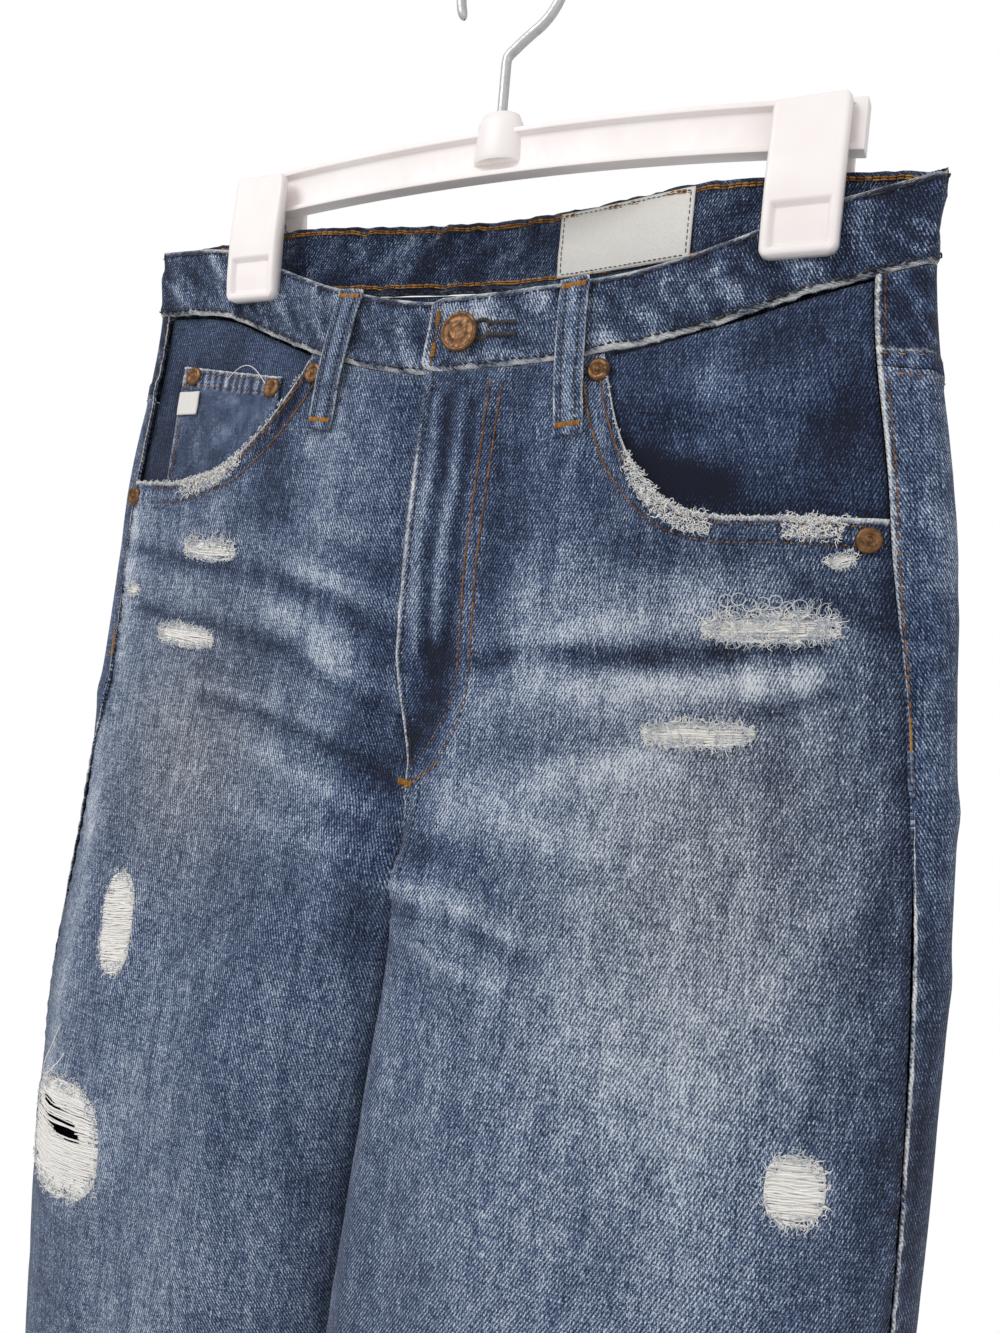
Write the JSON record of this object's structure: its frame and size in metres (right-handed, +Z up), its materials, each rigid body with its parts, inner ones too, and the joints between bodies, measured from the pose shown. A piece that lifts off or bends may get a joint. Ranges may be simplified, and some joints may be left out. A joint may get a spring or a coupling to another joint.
{
  "type": "ripped jeans on a clip hanger",
  "caption": "Worn blue denim jeans with frayed rips, whiskered hips and patch pockets, hung flat by the waistband from a plastic clip hanger.",
  "frame": {"origin": "inside top of the hanger's hook, where it sits on a rail", "axes": "+Z up, the front of the jeans faces -Y, the wearer's left is +X"},
  "size_m": [0.44, 0.1132, 1.1406],
  "materials": {
    "denim": "washed indigo twill, faded and worn white on its edges",
    "pocket_denim": "less faded indigo twill",
    "white_cotton": "plain off-white cotton",
    "aged_copper": "tarnished copper",
    "zip_brass": "dull brass",
    "hanger_plastic": "pale moulded plastic",
    "hanger_steel": "bright steel wire"
  },
  "bodies": {
    "root": {"front_left": "denim", "front_right": "denim", "yoke_left": "denim", "yoke_right": "denim", "back_left": "denim", "back_right": "denim", "waistband": "denim", "coin_pocket": "denim", "back_pocket_left": "denim", "back_pocket_right": "denim", "belt_loop_front_right": "denim", "belt_loop_front_left": "denim", "belt_loop_back_centre": "denim", "belt_loop_side_left": "denim", "belt_loop_side_right": "denim", "fly_facing": "pocket_denim", "fly_shield": "pocket_denim", "pocket_facing_left": "pocket_denim", "pocket_facing_right": "pocket_denim", "zip_tape": "white_cotton", "pocket_bag_left": "white_cotton", "pocket_bag_right": "white_cotton", "coin_pocket_tab": "white_cotton", "waist_label": "white_cotton", "rivet_left_mouth": "aged_copper", "rivet_left_side": "aged_copper", "rivet_right_mouth": "aged_copper", "rivet_right_side": "aged_copper", "rivet_coin_outer": "aged_copper", "rivet_coin_inner": "aged_copper", "waist_button": "aged_copper", "zip_slider": "zip_brass", "hanger_bar": "hanger_plastic", "clip_right_front": "hanger_plastic", "clip_right_back": "hanger_plastic", "clip_left_front": "hanger_plastic", "clip_left_back": "hanger_plastic", "hanger_hook": "hanger_steel", "clip_right_pivot": "hanger_steel", "clip_left_pivot": "hanger_steel"}
  },
  "joints": []
}
